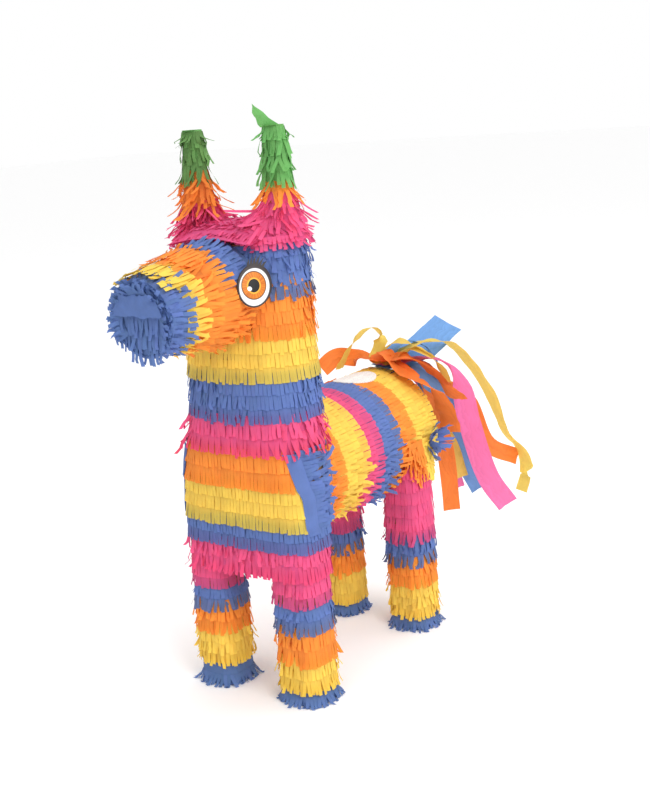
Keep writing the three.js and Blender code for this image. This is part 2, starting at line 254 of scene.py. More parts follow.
def mesh_piece(name, points, faces, material, body="pinata", **values):
    """A mesh from arrays of points and quads, with one float per point for each name in values."""
    mesh = bpy.data.meshes.new(name)
    mesh.vertices.add(len(points))
    mesh.vertices.foreach_set("co", np.asarray(points, np.float32).ravel())
    flat = np.asarray(faces, np.int32).ravel()
    mesh.loops.add(len(flat))
    mesh.loops.foreach_set("vertex_index", flat)
    mesh.polygons.add(len(faces))
    mesh.polygons.foreach_set("loop_start", np.arange(0, len(flat), 4, dtype=np.int32))
    mesh.update(calc_edges=True)
    mesh.polygons.foreach_set("use_smooth", np.full(len(faces), True))
    for key, value in values.items():
        mesh.attributes.new(key, "FLOAT", "POINT").data.foreach_set("value", np.asarray(value, np.float32))
    mesh.materials.append(material)
    piece = bpy.data.objects.new(name, mesh)
    bpy.context.scene.collection.objects.link(piece)
    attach(piece, body)
    return piece


class Sheaf:
    """Collects the tabs of one piece."""

    def __init__(self):
        self.points, self.faces, self.tone, self.show, self.count = [], [], [], [], 0

    def add(self, points, faces, tone, show=None):
        self.points.append(points)
        self.faces.append(faces + self.count)
        self.tone.append(np.broadcast_to(tone, len(points)))
        self.show.append(np.zeros(len(points)) if show is None else show)
        self.count += len(points)

    def build(self, name, hue, *replaced, under=None, body="pinata"):
        material = paper_over(hue, under) if under else PAPER[hue]
        piece = mesh_piece(name, np.concatenate(self.points), np.concatenate(self.faces), material, body,
                           tone=np.concatenate(self.tone), show=np.concatenate(self.show))
        if replaced:
            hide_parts(*replaced)


def unit(vectors):
    return vectors / np.maximum(np.linalg.norm(vectors, axis=1, keepdims=True), 1e-12)


def add_tabs(sheaf, fixed, free, out, width=TAB_WIDTH * MM, ruffle=0.2, under=-2.4, over=-0.3, show=0.0,
             tone=0.0, lift=1.0):
    """Cut tabs from fixed points to free ends over a face with outward directions out, all N by 3.
    under and over are the heights of a tab's two ends above the face, in millimetres.
    ruffle is 0 for flat tabs, and 1 where they are crumpled and stick out."""
    count = len(fixed)
    if not count:
        return
    ruffle = np.broadcast_to(np.asarray(ruffle, float), count)
    along = free - fixed
    length = np.linalg.norm(along, axis=1)
    along = unit(along)
    across = unit(np.cross(along, out))
    s = np.linspace(0, 1, STEPS + 1)
    wild = ROWS.random(count) < 0.02 + 0.6 * ruffle
    reach = length * (1 + ROWS.normal(0, 0.022 + 0.08 * ruffle, count))
    skew = ROWS.normal(0, 0.012 + 0.11 * ruffle) + wild * ROWS.normal(0, 0.25, count) * ruffle
    stands = np.abs(ROWS.normal(0, 0.3 + 1.8 * ruffle))
    rise = lift * MM * (stands + wild * ROWS.uniform(0, 8, count) * ruffle)
    twist = ROWS.normal(0, 0.06 + 0.28 * ruffle) + wild * ROWS.normal(0, 0.9, count) * ruffle
    curl = ROWS.normal(0, 0.15 + 1.6 * ruffle) * MM
    cup = ROWS.normal(0, 0.2, count) * MM
    shade = ROWS.normal(0, 0.02 + 0.035 * ruffle) + tone
    free_part = np.clip((s - 0.3) / 0.7, 0, 1)
    crumple = ROWS.normal(0, 1, (count, STEPS + 1)) * (0.15 + 1.1 * ruffle)[:, None] * MM
    waver = ROWS.normal(0, 1, (count, STEPS + 1)) * (0.05 + 0.7 * ruffle)[:, None] * MM
    points = np.zeros((count, STEPS + 1, ACROSS, 3))
    for j, q in enumerate(free_part):
        height = under * MM + (over - under) * MM * s[j] ** 0.75
        height = height + rise * q**1.6 + curl * math.sin(math.pi * q)
        centre = fixed + along * (reach * s[j])[:, None] + across * (skew * reach * q**1.3)[:, None]
        centre = centre + out * (height + crumple[:, j] * q)[:, None] + across * (waver[:, j] * q)[:, None]
        turn = twist * q
        side = across * np.cos(turn)[:, None] + out * np.sin(turn)[:, None]
        half = width / 2 * (1.0 - 0.05 * (q > 0) - 0.05 * q)
        for k in range(ACROSS):
            points[:, j, k] = centre + side * (half * (k - 1)) + (out * (cup * q)[:, None] if k == 1 else 0)
    points[..., 2] = np.maximum(points[..., 2], LOWEST * MM)
    size = (STEPS + 1) * ACROSS
    faces = (grid_faces(STEPS + 1, ACROSS)[None] + (np.arange(count) * size)[:, None, None]).reshape(-1, 4)
    # Each tab is a little darker at its fixed end and lighter at its free end: painted shade under the row
    # above.
    tones = np.repeat(shade, size) + np.tile(np.repeat(0.05 * s - 0.03, ACROSS), count)
    shown = np.tile(np.repeat(np.clip((s - 0.3) / 0.4, 0, 1) * show, ACROSS), count)
    sheaf.add(points.reshape(-1, 3), faces, tones, shown)


# ---- faces to grow fringe on ----
def tree_of(*names):
    points, faces = [], []
    for name in names:
        mesh = NODES[name].data
        start = len(points)
        points += [v.co.copy() for v in mesh.vertices]
        faces += [[start + i for i in p.vertices] for p in mesh.polygons]
    return BVHTree.FromPolygons(points, faces)


class Face:
    """The outer face of some nodes round a line: centre(t) is the line, and u and v span the section.
    low and high are how far along the line rows may be fixed."""

    def __init__(self, names, centre, u, v, away=0.3, low=None, high=None):
        self.tree, self.centre, self.u, self.v, self.away = tree_of(*names), centre, u, v, away
        self.low, self.high = low, high
        self.axis = u.cross(v)
        self.angles = np.linspace(0, 2 * math.pi, SIDE_COUNT, endpoint=False)
        self.known = {}

    def of(self, name):
        """The face of one node round the same line."""
        return Face([name], self.centre, self.u, self.v, self.away)

    def radii(self, t):
        """Distance from the line to the face at each angle, with nan where there is no face."""
        key = round(t, 6)
        if key not in self.known:
            found = []
            for angle in self.angles:
                way = self.u * math.cos(angle) + self.v * math.sin(angle)
                hit = self.tree.ray_cast(self.centre(t) + way * self.away, -way, self.away)
                found.append(self.away - hit[3] if hit[0] is not None else math.nan)
            raw = np.array(found)
            stack = np.stack([np.roll(raw, k) for k in range(-SMOOTHING, SMOOTHING + 1)])
            known = ~np.isnan(stack)
            smooth = np.where(known, stack, 0).sum(0) / np.maximum(known.sum(0), 1)
            self.known[key] = np.where(np.isnan(raw), math.nan, smooth)
        return self.known[key]

    def points(self, t, angles, radii):
        way = np.outer(np.cos(angles), np.array(self.u)) + np.outer(np.sin(angles), np.array(self.v))
        return np.array(self.centre(t)) + way * radii[:, None]


def at_angles(radii, angles):
    """Radii at any angles, between the two nearest measured ones."""
    where = (angles / (2 * math.pi) * SIDE_COUNT) % SIDE_COUNT
    low = np.floor(where).astype(int) % SIDE_COUNT
    high = (low + 1) % SIDE_COUNT
    share = where - np.floor(where)
    return radii[low] * (1 - share) + radii[high] * share


def grow_row(sheaf, own, region, free_t, toward_root, limits, ruffle, keep=None, reach=ROW_PITCH + OVERLAP,
             **look):
    """One row of tabs round a face, with its free ends at free_t and its fixed edge toward_root of them."""
    inside = min(max(free_t, limits[0] + 1.2 * MM), limits[1] - 1.2 * MM)
    edge = own.radii(inside)
    root_t = min(max(free_t + toward_root * (reach * MM), region.low), region.high)
    root = region.radii(root_t)
    filled = np.nan_to_num(edge, nan=np.nanmean(edge))
    ring = own.points(inside, own.angles, filled)
    steps = np.linalg.norm(np.roll(ring, -1, axis=0) - ring, axis=1)
    total = steps.sum()
    count = max(6, round(total / (TAB_WIDTH * MM)))
    run = np.concatenate([[0], np.cumsum(steps)])
    wanted = ((np.arange(count) + ROWS.random()) / count * total) % total
    angles = np.interp(wanted, run, np.linspace(0, 2 * math.pi, SIDE_COUNT + 1))
    edge_at = at_angles(edge, angles)
    angles, edge_at = angles[~np.isnan(edge_at)], edge_at[~np.isnan(edge_at)]
    root_at = at_angles(root, angles)
    root_at = np.where(np.isnan(root_at), edge_at, root_at)
    free = own.points(free_t, angles, edge_at)
    fixed = own.points(root_t, angles, root_at)
    near = own.points(inside, angles + 0.03, at_angles(filled, angles + 0.03))
    tangent = unit(near - own.points(inside, angles, edge_at))
    out = unit(np.cross(tangent, np.tile(np.array(own.axis), (len(angles), 1))))
    if keep is not None:
        kept = keep(free)
        free, fixed, out = free[kept], fixed[kept], out[kept]
    if callable(ruffle):
        ruffle = ruffle(free)
    add_tabs(sheaf, fixed, free, out, width=total / count, ruffle=ruffle, **look)


def backing(sheaf, own, low, high, keep=None, depth=2.6):
    """The glued paper under the tabs, depth millimetres below the face, darkened by its tone as painted shade
    under the tabs.
    """
    first, last = own.radii(low + 0.5 * MM), own.radii(high - 0.5 * MM)
    have = ~np.isnan(first) & ~np.isnan(last)
    if keep is not None:
        have &= keep(own.points(low, own.angles, np.nan_to_num(first, nan=0.05)))
    ends = ((low, first), (high, last))
    rings = [own.points(t, own.angles, np.nan_to_num(r) - depth * MM) for t, r in ends]
    # Tone -0.12 is painted shade under the tabs.
    sheaf.add(np.concatenate(rings), ring_faces(SIDE_COUNT)[have & np.roll(have, -1)], -0.12)


def paper_over(hue, under):
    """Tissue of one hue that lets another show through in its last row."""
    name = f"{hue}_over_{under}"
    if name not in PAPER:
        PAPER[name] = tissue(f"tissue_{name}", HUES[hue], HUES[under])
    return PAPER[name]


def cover(region, names, hues, toward_root, ends_of, ruffles, keeps=None, show=0.0, pitch=ROW_PITCH, **look):
    """Rows of tabs on each node of a region, with their free ends on the side away from toward_root."""
    for i, (name, hue, ruffle) in enumerate(zip(names, hues, ruffles)):
        own = region.of(name)
        low, high = ends_of(name)
        keep = (keeps or {}).get(name)
        sheaf = Sheaf()
        backing(sheaf, own, low, high, keep)
        rows = max(1, round((high - low) / (pitch * MM)))
        step = (high - low) / rows
        for k in range(rows):
            hang = 2.0 * MM if k == 0 else 0.0
            free_t = low + k * step - hang if toward_root > 0 else high - k * step + hang
            grow_row(sheaf, own, region, free_t, toward_root, (low, high), ruffle, keep,
                     show=show if k == 0 else 0.0, **look)
        sheaf.build(f"{name}_tabs", hue, name, under=hues[i + 1] if i + 1 < len(hues) else hue)


def hue_of(name):
    """The hue in a node's name. The collar and the feet have none in theirs, and are blue."""
    return next((hue for hue in HUES if hue in name), "blue")


def region_of(names, centre, u, v, low, high):
    """The face of several nodes, whose rows are fixed a little inside its two ends."""
    return Face(names, centre, u, v, low=low + 1.0 * MM, high=high - 1.0 * MM)


def patchy(base, amount, scale=22.0, seed=0.0):
    """Ruffle that comes in patches over a face."""
    def at(points):
        fields = [noise.noise(Vector(p) * scale + Vector((seed, 3.1, 7.7))) for p in points]
        return np.clip(base + amount * (np.array(fields) * 1.6 + 0.1), 0, 1)
    return at


# ---- head, neck and chest ----
COLUMN = ["head_fringe_blue", "head_fringe_orange", "head_fringe_yellow",
          "neck_fringe_blue", "neck_fringe_pink",
          "chest_fringe_orange", "chest_fringe_yellow", "chest_fringe_blue", "chest_fringe_pink"]
COLUMN_Y = -92
HEM = 131
BIB = [(177, 78), (212, 75), (236, 67), (260, 59), (279, 51)]  # height, and half the width there
BIB_BAND = [(0, 0.1), (3, 0.9), (8, 1.1), (13, 0.9), (15, 0.1)]  # distance from the bib, and height
TEMPLES = {"orange": (368, 380, 392, 404, 416), "blue": (420, 430, 440, 449)}  # heights of the rows
TEMPLE_REACH = 56  # from the middle of the eye


def column_centre(t):
    return place(0, COLUMN_Y, 0) + UP * t


def upright_ends(name):
    low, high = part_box(name)
    return (HEM * MM if name == "chest_fringe_pink" else low.z), high.z


def in_bib(points):
    edge = np.interp(points[:, 2] / MM, *zip(*BIB))
    return (np.abs(points[:, 0]) / MM < edge) & (points[:, 1] < MIDDLE_Y + COLUMN_Y * MM)


def neck_ruffle(points):
    """Crumpled where the neck meets the body."""
    corner = np.clip((np.abs(points[:, 0]) / MM - 46) / 14, 0, 1)
    return np.clip(patchy(0.2, 0.3, seed=5)(points) + 0.75 * corner, 0, 1)


def dress_column():
    region = region_of(COLUMN, column_centre, RIGHT, REAR, HEM * MM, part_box("head_fringe_blue")[1].z)
    hues = [hue_of(n) for n in COLUMN]
    ruffles = [0.5, patchy(0.22, 0.3, seed=2), patchy(0.04, 0.12, seed=3), patchy(0.12, 0.45, seed=4),
               neck_ruffle, 0.02, 0.015, patchy(0.05, 0.15, seed=6), patchy(0.5, 0.5, seed=7)]
    keeps = {"chest_fringe_orange": in_bib, "chest_fringe_yellow": in_bib}
    cover(region, COLUMN, hues, 1, upright_ends, ruffles, keeps, show=0.45)
    return region


def dress_bib_sides(region):
    """The blue sides of the chest: a flat band down the bib's edge, then short tabs to the rear."""
    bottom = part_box("chest_fringe_blue")[1].z - 6 * MM
    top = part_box("chest_fringe_orange")[1].z + 4 * MM
    for side, label in ((1, "left"), (-1, "right")):
        sheaf = Sheaf()
        band = []
        for z in np.arange(bottom, top, TAB_SPACING * MM):
            angles = np.linspace(-math.pi / 2, math.radians(40), 240)
            if side < 0:
                angles = math.pi - angles
            ring = region.points(z, angles, at_angles(region.radii(z), angles))
            known = ~np.isnan(ring[:, 0])
            ring = ring[known & ~in_bib(np.nan_to_num(ring))]
            run = np.concatenate([[0], np.cumsum(np.linalg.norm(np.diff(ring, axis=0), axis=1))]) / MM

            def spot(distance, run=run, ring=ring):
                return np.array([np.interp(distance, run, ring[:, k]) for k in range(3)])

            for at_run, length, ruffle in ((run[-1] - 20, 24, 0.8), (24, 20, 0.6), (12, 19, 0.3)):
                start, end = spot(max(at_run, 0)), spot(min(at_run + length, run[-1]))
                if np.linalg.norm(end - start) > 4 * MM:
                    out = unit(np.cross([end - start], [[0, 0, 1]])) * side
                    add_tabs(sheaf, start[None], end[None], out, width=4.6 * MM, ruffle=ruffle, under=-1.6,
                             over=0.0)
            way = unit(np.cross([spot(8) - spot(0)], [[0, 0, 1]]))[0] * side
            crease = 0.5 * noise.noise(Vector((side, z * 90, 0)))
            band.append([spot(d) + way * (h + crease) * MM for d, h in BIB_BAND])
        sheaf.add(np.array(band).reshape(-1, 3), grid_faces(len(band), len(BIB_BAND)), 0.02)
        sheaf.build(f"chest_side_{label}", "blue")


dress_bib_sides(dress_column())


def dress_temples():
    """Tabs on the card round each eye, where the fringe stops short of the eye card."""
    card = Face(["column_shell"], column_centre, RIGHT, REAR, low=0.36, high=0.455)
    for key in ("l", "r"):
        low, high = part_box(f"eye_{key}")
        eye = np.array((low + high) / 2)

        def near_eye(points, eye=eye):
            return np.linalg.norm(points - eye, axis=1) < TEMPLE_REACH * MM

        for hue, levels in TEMPLES.items():
            sheaf = Sheaf()
            for z in levels:
                grow_row(sheaf, card, card, z * MM, 1, (0.36, 0.45), 0.2, near_eye, under=1.2, over=2.4,
                         reach=26)
            sheaf.build(f"temple_{key}_{hue}", hue)


dress_temples()


# ---- body ----
STRIPES = ["body_fringe_orange_front", "body_fringe_yellow_front", "body_fringe_pink", "body_fringe_blue",
           "body_fringe_orange_rear", "body_fringe_yellow_rear"]
BODY_Z, BODY_WIDTH, BODY_HEIGHT = 217, 72, 68


def lengthwise_ends(name):
    low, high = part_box(name)
    return low.y, high.y


def body_ruffle(points):
    """Neat along the back, crumpled low on the sides and under the belly."""
    low = np.clip((0.262 - points[:, 2]) / 0.065, 0, 1)
    fields = np.array([noise.noise(Vector(p) * 25) for p in points])
    return np.clip(0.02 + 0.95 * low * (0.6 + 0.9 * fields), 0, 1)


def dress_body():
    ends = lengthwise_ends(STRIPES[0])[0], lengthwise_ends(STRIPES[-1])[1]
    region = region_of(STRIPES, lambda t: Vector((0, t, BODY_Z * MM)), UP, RIGHT, *ends)
    hues = [hue_of(n) for n in STRIPES]
    cover(region, STRIPES, hues, -1, lengthwise_ends, [body_ruffle] * len(STRIPES), show=0.12,
          pitch=BODY_PITCH)
    low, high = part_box("fill_flap")
    front = low.y - 1.4 * MM
    name = next(n for n in STRIPES if lengthwise_ends(n)[0] < front < lengthwise_ends(n)[1])

    def before_flap(points):
        return (np.abs(points[:, 0]) < high.x + 2 * MM) & (points[:, 2] > BODY_Z * MM)

    sheaf = Sheaf()
    for free_y in (front - 7 * MM, front):
        grow_row(sheaf, region.of(name), region, free_y, -1, lengthwise_ends(name), 0.02, before_flap,
                 reach=17)
    sheaf.build("flap_edge_tabs", hue_of(name))


def face_tabs(sheaf, centre, out, across, up, radius, rows, ruffle):
    """Rows of hanging tabs on a flat round end."""
    for free_v, length, tone in rows:
        reach = math.sqrt(max(radius**2 - min(abs(free_v + length * 0.45), radius - 4) ** 2, 16))
        count = max(3, int(2 * reach / TAB_SPACING))
        u = (np.linspace(-reach, reach, count) + ROWS.normal(0, 0.3, count)) * MM
        bottom = free_v + ROWS.normal(0, 1.5, count)
        edge = -np.sqrt(np.maximum(radius**2 - (u / MM) ** 2, 0)) - 7
        bottom = np.maximum(bottom, edge)
        top = np.minimum(free_v + length, -edge - 8)
        free = np.array(centre) + np.outer(u, across) + np.outer(bottom * MM, up)
        fixed = np.array(centre) + np.outer(u, across) + np.outer(top * MM, up)
        tall = top - bottom > 6
        outs = np.tile(np.array(out), (count, 1))
        add_tabs(sheaf, fixed[tall], free[tall], outs[tall], width=TAB_SPACING * MM, ruffle=ruffle,
                 under=-1.6, over=0.4, tone=tone)


def rounded_end(sheaf, centre, across, up, radius, depth, tone=-0.1):
    """A plain disc of tissue under the tabs of a flat round end. Its default tone of -0.1 is painted shade
    under the tabs.
    """
    turns = np.linspace(0, 2 * math.pi, RIM_COUNT + 1)[:-1]
    rim = np.array(centre) + radius * MM * (np.outer(np.cos(turns), across) + np.outer(np.sin(turns), up))
    hub = np.repeat(np.array([centre]), RIM_COUNT, axis=0) + 1e-5 * (rim - np.array(centre))
    inward = np.array(Vector(across).cross(Vector(up))) * -depth * MM
    sheaf.add(np.concatenate([rim, hub]) + inward, ring_faces(RIM_COUNT), tone)


def dress_rump():
    low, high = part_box("rump_fringe_blue")
    centre = Vector((0, high.y, (low.z + high.z) / 2))
    radius = (high.z - low.z) / 2 / MM
    sheaf = Sheaf()
    rounded_end(sheaf, centre, -RIGHT, UP, radius, 1.5)
    rows = [(free_v, 24, 0) for free_v in range(-int(radius) - 4, int(radius) - 14, 14)]
    face_tabs(sheaf, centre, REAR, -RIGHT, UP, radius, rows, 0.3)
    for side in (1, -1):
        hip = Vector((side * 66 * MM, high.y - 12 * MM, 206 * MM))
        tuft(sheaf, hip, Vector((side, 0.3, -0.1)), 52, 30, 17)
    sheaf.build("rump_tabs", "blue", "rump_fringe_blue")


def tuft(sheaf, centre, out, count, length, spread):
    """A rosette of loose tabs."""
    out = out.normalized()
    across = out.cross(UP).normalized()
    turns = ROWS.random(count) * 2 * math.pi
    reach = np.sqrt(ROWS.random(count)) * spread * MM
    ways = np.outer(np.cos(turns), across) + np.outer(np.sin(turns), out.cross(across))
    fixed = np.array(centre) + ways * (reach * 0.5)[:, None]
    lean = ROWS.uniform(0.25, 1.1, count)
    free = fixed + (ways + np.outer(lean, out)) * (length * MM * ROWS.uniform(0.5, 1.0, count) * 0.6)[:, None]
    outs = np.tile(np.array(out), (count, 1))
    add_tabs(sheaf, fixed, free, outs, width=5.5 * MM, ruffle=0.8, under=0, over=0)


dress_body()
dress_rump()


# ---- legs ----
def dress_thigh(key, low, high):
    """Body tabs that hang over the top of a rear leg."""
    middle, half = (low + high) / 2, (high - low) / 2 + Vector((1, 1, 0)) * FRINGE * MM
    side = 1 if middle.x > 0 else -1
    y = np.arange(-half.y, half.y, TAB_SPACING * MM)
    leg_x = abs(middle.x) + half.x * (1 - np.abs(y / half.y) ** 3) ** (1 / 3)
    for hue, kept in (("orange", y < -2 * MM), ("yellow", y >= -2 * MM)):
        sheaf = Sheaf()
        for top, bottom in ((188, 168), (197, 178), (207, 187), (216, 196)):
            ends = []
            for z in (top, bottom):
                body_x = BODY_WIDTH * math.sqrt(1 - ((z - BODY_Z) / BODY_HEIGHT) ** 2) * MM
                x = np.maximum(leg_x, body_x) if z < 190 else np.full(len(y), body_x)
                ends.append(np.stack([side * x, middle.y + y, np.full(len(y), z * MM)], axis=1)[kept])
            fixed, free = ends
            free[:, 2] += ROWS.normal(0, 2.0, len(free)) * MM
            outs = np.tile([side, 0, 0.35], (len(free), 1))
            add_tabs(sheaf, fixed, free, unit(outs), ruffle=0.42, under=0.2, over=1.8)
        sheaf.build(f"leg_{key}_{hue}_skirt", hue)


def dress_legs():
    for key in ("fl", "fr", "rl", "rr"):
        labels = (["pink"] if key[0] == "r" else []) + ["blue", "orange", "yellow", "foot"]
        names = [f"leg_{key}_fringe_{label}" for label in labels]
        low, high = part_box(f"leg_{key}_card")
        middle = (low + high) / 2
        foot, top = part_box(names[-1])[0].z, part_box(names[0])[1].z
        region = region_of(names, lambda t, m=middle: Vector((m.x, m.y, t)), RIGHT, REAR, foot, top)
        hues = [hue_of(n) for n in names]
        mess = patchy(0.2, 0.45, seed=middle.x * 100 + middle.y * 30)
        cover(region, names[:-1], hues[:-1], 1, upright_ends, [mess] * (len(names) - 1), show=0.4)
        # The feet's tabs are darkened with tone -0.10: painted shade low down by the ground.
        cover(region, names[-1:], hues[-1:], 1, upright_ends, [0.6], over=1.6, pitch=16, reach=13, tone=-0.10)
        if key[0] == "r":
            dress_thigh(key, low, high)
        else:
            sheaf = Sheaf()
            own = region.of(names[0])
            region.high = HEM * MM + 4 * MM
            limits = (top - 2 * MM, top)
            for k in range(2):
                show = 0.4 if k == 0 else 0.0
                grow_row(sheaf, own, region, top - 2 * MM + k * 12 * MM, 1, limits, mess, show=show)
            sheaf.build(f"leg_{key}_pink_tabs", "pink", under="blue")


dress_legs()


# ---- snout ----
TILT = math.radians(5)
SNOUT_START = place(0, -130, 413)
AHEAD = Vector((0, -math.cos(TILT), -math.sin(TILT)))
SNOUT_UP = AHEAD.cross(RIGHT)
SNOUT = ["snout_fringe_blue", "snout_fringe_yellow", "snout_fringe_orange", "snout_fringe_collar"]


def snout_ends(name):
    along = [(v.co - SNOUT_START).dot(AHEAD) for v in NODES[name].data.vertices]
    return min(along), max(along)


def brow(points):
    """The upper part of the collar, above the eyes."""
    return (points[:, 2] - SNOUT_START.z) > 0.012


def on_top(points, share):
    """Points on the upper face of the snout, within a share of its radius."""
    offset = points - np.array(SNOUT_START)
    rise, aside = offset @ np.array(SNOUT_UP), offset @ np.array(RIGHT)
    return rise > share * np.hypot(rise, aside)


def line_card(sheaf, card, low, high, keep):
    """Paper on the snout's card, in short steps that follow its cut against the head."""
    steps = np.linspace(low, high, 12)
    for start, end in zip(steps, steps[1:]):
        backing(sheaf, card, start, end, keep, depth=-1.2)


def dress_snout():
    front = snout_ends(SNOUT[0])[1]
    region = region_of(SNOUT, lambda t: SNOUT_START + AHEAD * t, RIGHT, SNOUT_UP, -12 * MM, front)
    hues = [hue_of(n) for n in SNOUT]
    ruffles = [0.55, patchy(0.55, 0.4, seed=8), patchy(0.45, 0.4, seed=9), 0.3]
    cover(region, SNOUT, hues, 1, snout_ends, ruffles, {"snout_fringe_collar": brow}, show=0.1)
    low, high = snout_ends("snout_fringe_collar")
    own = region.of("snout_fringe_collar")
    card = region.of("snout_shell")
    brow_tabs = Sheaf()
    line_card(brow_tabs, card, low - 8 * MM, high, brow)
    for back in (4, 9, 13):
        grow_row(brow_tabs, own, region, low - back * MM, 1, (low, high), 0.3, brow, under=-1.0, over=1.5)
    brow_tabs.build("snout_brow_tabs", "blue")
    for hue, free_t, width_share in (("orange", 0.074, 0.78), ("yellow", 0.101, 0.62)):
        combed = Sheaf()
        for back in (8, 0):
            grow_row(combed, region, region, free_t - back * MM, -1, (region.low, region.high), 0.25,
                     lambda p, w=width_share: on_top(p, w), reach=30, under=1.5, over=4.0)
        combed.build(f"snout_top_{hue}", hue)
    cheek = Sheaf()
    line_card(cheek, card, low - 8 * MM, high, lambda p: ~brow(p))
    for k in range(3):
        grow_row(cheek, own, region, low + (10 * k + 4) * MM, 1, (low, high), 0.75, lambda p: ~brow(p))
    cheek.build("snout_cheek_tabs", "orange")
    radius = np.nanmean(region.radii(front - 2 * MM)) / MM
    centre = SNOUT_START + AHEAD * (front - 0.5 * MM)
    muzzle = Sheaf()
    rounded_end(muzzle, centre, RIGHT, SNOUT_UP, radius, 1.0)
    # The muzzle's face is darkened, most in its lowest row: painted shade on the front face.
    rows = [(-radius - 6, 22, -0.08), (-radius + 8, 24, -0.07), (-radius + 22, 24, -0.06)]
    face_tabs(muzzle, centre, AHEAD, RIGHT, SNOUT_UP, radius, rows, 0.35)
    turns = np.linspace(-0.6, math.pi + 0.6, 46)
    ways = np.outer(np.cos(turns), RIGHT) + np.outer(np.sin(turns), SNOUT_UP)
    for inner, outer, lean in ((0.62, 0.96, -1.5), (0.78, 1.06, 1.0)):
        fixed = np.array(centre) + ways * radius * inner * MM
        free = np.array(centre) + ways * radius * outer * MM - np.array(AHEAD) * lean * MM
        outs = np.tile(np.array(AHEAD), (len(turns), 1))
        # Tone -0.08 on the rim tabs is the same painted shade.
        add_tabs(muzzle, fixed, free, outs, ruffle=0.7, under=0, over=0.5, tone=-0.08)
    fold_over(muzzle, centre + AHEAD * 3.0 * MM, radius)
    muzzle.build("muzzle_tabs", "blue")


def fold_over(sheaf, centre, radius):
    """The uncut sheet folded over the top of the muzzle."""
    across, down = 17, 8
    points = []
    for j in range(down):
        for i in range(across):
            ragged = 2.2 * noise.noise(Vector((i * 0.55, j * 0.3, 1.5)))
            v = radius * (0.62 - 0.52 * j / (down - 1)) + ragged
            half = (0.72 + 0.12 * j / (down - 1)) * math.sqrt(radius**2 - v**2)
            u = half * (2 * i / (across - 1) - 1)
            crease = 1.8 * noise.noise(Vector((u * 0.16, v * 0.2, 4.2))) - 2.2 * (1 - j / (down - 1)) ** 3
            points.append(centre + RIGHT * u * MM + SNOUT_UP * v * MM + AHEAD * (0.8 + crease) * MM)
    # Tone -0.05 is painted shade, as on the rest of the muzzle's face.
    sheaf.add(np.array(points), grid_faces(down, across), -0.05)


dress_snout()


# ---- roof of the head and the ears ----
EAR_X = 50
EAR_Y = -86
EAR_ROOT = 0.456
PINK_BOTTOM = 0.462
ROOF_EDGE = 0.460
ROOF_HALF = 52
ROOF_RISE = 6.5
ROOF_BACK = 34


def dress_ears():
    # The right ear is on the far side: tone -0.36 (a third of it on the orange) darkens all its pieces as
    # painted shade.
    for side, key, wisps, tone in ((1, "l", 9, 0.0), (-1, "r", 5, -0.36)):
        names = [f"ear_{key}_fringe_green", f"ear_{key}_fringe_orange"]
        low_orange, high_orange = upright_ends(names[1])
        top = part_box(f"ear_{key}_card")[1].z + FRINGE * MM
        face = Face([*names, "head_fringe_pink"], lambda t, s=side: place(s * EAR_X, EAR_Y, 0) + UP * t,
                    RIGHT, REAR, 0.04, EAR_ROOT, top - 1.5 * MM)
        bands = {names[0]: (high_orange, top), names[1]: (low_orange, high_orange)}
        cover(face, names[:1], ["green"], 1, bands.get, [0.6], pitch=15, reach=28, tone=tone)
        cover(face, names[1:], ["orange"], 1, bands.get, [1.0], pitch=12, reach=22, lift=1.9, tone=tone / 3)
        crown = Sheaf()
        centre = place(side * EAR_X, EAR_Y, 0) + UP * (top - 1 * MM)
        rounded_end(crown, centre, RIGHT, REAR, 10, -0.5, tone)
        grow_row(crown, face, face, top - 12 * MM, 1, (top - 14 * MM, top - 10 * MM), 1.0,
                 lambda p, w=wisps: ROWS.random(len(p)) < w / 30, lift=1.8, tone=tone)
        crown.build(f"ear_{key}_crown", "green")
        pinks = Sheaf()
        for k in range(3):
            free_t = PINK_BOTTOM + k * (low_orange - PINK_BOTTOM) / 3
            grow_row(pinks, face, face, free_t, 1, (PINK_BOTTOM, low_orange), 0.95, reach=20, lift=1.7)
        pinks.build(f"ear_{key}_pink_tabs", "pink")


def roof_cap(low):
    """The paper under the front of the roof, arched from side to side."""
    across, along = np.linspace(-ROOF_HALF, ROOF_HALF, 27), np.linspace(0, 1, 7)
    points = []
    for s in along:
        for x in across:
            rise = ROOF_RISE * math.cos(x / ROOF_HALF * math.pi / 2) - 3 * s
            points.append(Vector((x * MM, low.y + (ROOF_BACK - 42 * s) * MM, ROOF_EDGE + rise * MM)))
    return np.array(points), grid_faces(len(along), len(across))


def roof_end(tree, x, y, low, high):
    """Where a tab at x and y meets the top of the head, or None past its edge."""
    inside = min(max(y, low.y + 1.5 * MM), high.y - 2 * MM)
    hit = tree.ray_cast(Vector((x, inside, 0.476)), -UP, 0.05)[0]
    top = 0 if hit is None else hit.z
    if abs(x) < ROOF_HALF * MM and y < low.y + ROOF_BACK * MM:
        arch = ROOF_RISE * MM * math.cos(x / (ROOF_HALF * MM) * math.pi / 2)
        top = max(top, ROOF_EDGE + arch - 2 * MM)
    return Vector((x, min(y, inside), top - (4 * MM if y < low.y else 0))) if top else None


def roof_hem(points):
    """The sides and back of the head's edge, clear of the face."""
    return (np.abs(points[:, 0]) > 26 * MM) | (points[:, 1] > MIDDLE_Y + COLUMN_Y * MM)


